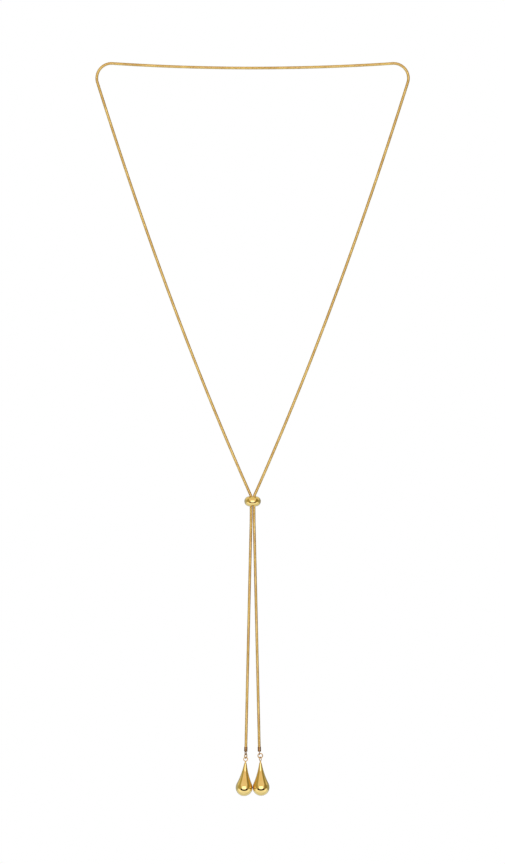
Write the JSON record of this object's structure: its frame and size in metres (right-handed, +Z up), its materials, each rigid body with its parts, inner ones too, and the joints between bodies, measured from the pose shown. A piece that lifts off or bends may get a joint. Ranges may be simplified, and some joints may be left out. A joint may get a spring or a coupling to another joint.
{
  "type": "lariat necklace",
  "caption": "Slider lariat necklace: a fine gold snake chain drawn through a round bead, with a polished teardrop hanging from each tail.",
  "frame": {"origin": "under the middle of the nape stretch, where the chain lies on what it hangs from", "axes": "+Z up, +X to the right as seen from the front, +Y to the back; the necklace hangs in the XZ plane"},
  "size_m": [0.157, 0.0084, 0.3668],
  "materials": {
    "gold_chain": "fine woven snake surface, gold plated",
    "polished_gold": "mirror polished gold plate",
    "fitting_gold": "polished gold plated wire and sleeve"
  },
  "bodies": {
    "necklace": {"snake_chain": "gold_chain", "slider_bead": "polished_gold", "end_cap_left": "fitting_gold", "end_cap_right": "fitting_gold"},
    "left_ring": {"jump_ring_left": "fitting_gold"},
    "left_drop": {"teardrop_left": "polished_gold"},
    "right_ring": {"jump_ring_right": "fitting_gold"},
    "right_drop": {"teardrop_right": "polished_gold"}
  },
  "joints": [
    {"name": "left_ring_sway", "type": "hinge", "parent": "necklace", "child": "left_ring", "pos_m": [-0.00343, 0, -0.34212], "axis": [0.4695, 0.8829, 0], "range_deg": [0, 60]},
    {"name": "left_drop_swing", "type": "hinge", "parent": "left_ring", "child": "left_drop", "pos_m": [-0.00343, 0, -0.34388], "axis": [1, 0, 0], "range_deg": [-60, 60]},
    {"name": "right_ring_swing", "type": "hinge", "parent": "necklace", "child": "right_ring", "pos_m": [0.00343, 0, -0.34212], "axis": [1, 0, 0], "range_deg": [-60, 60]},
    {"name": "right_drop_sway", "type": "hinge", "parent": "right_ring", "child": "right_drop", "pos_m": [0.00383, 0, -0.34373], "axis": [0.4693, -0.8829, 0.0123], "range_deg": [0, 60]}
  ]
}
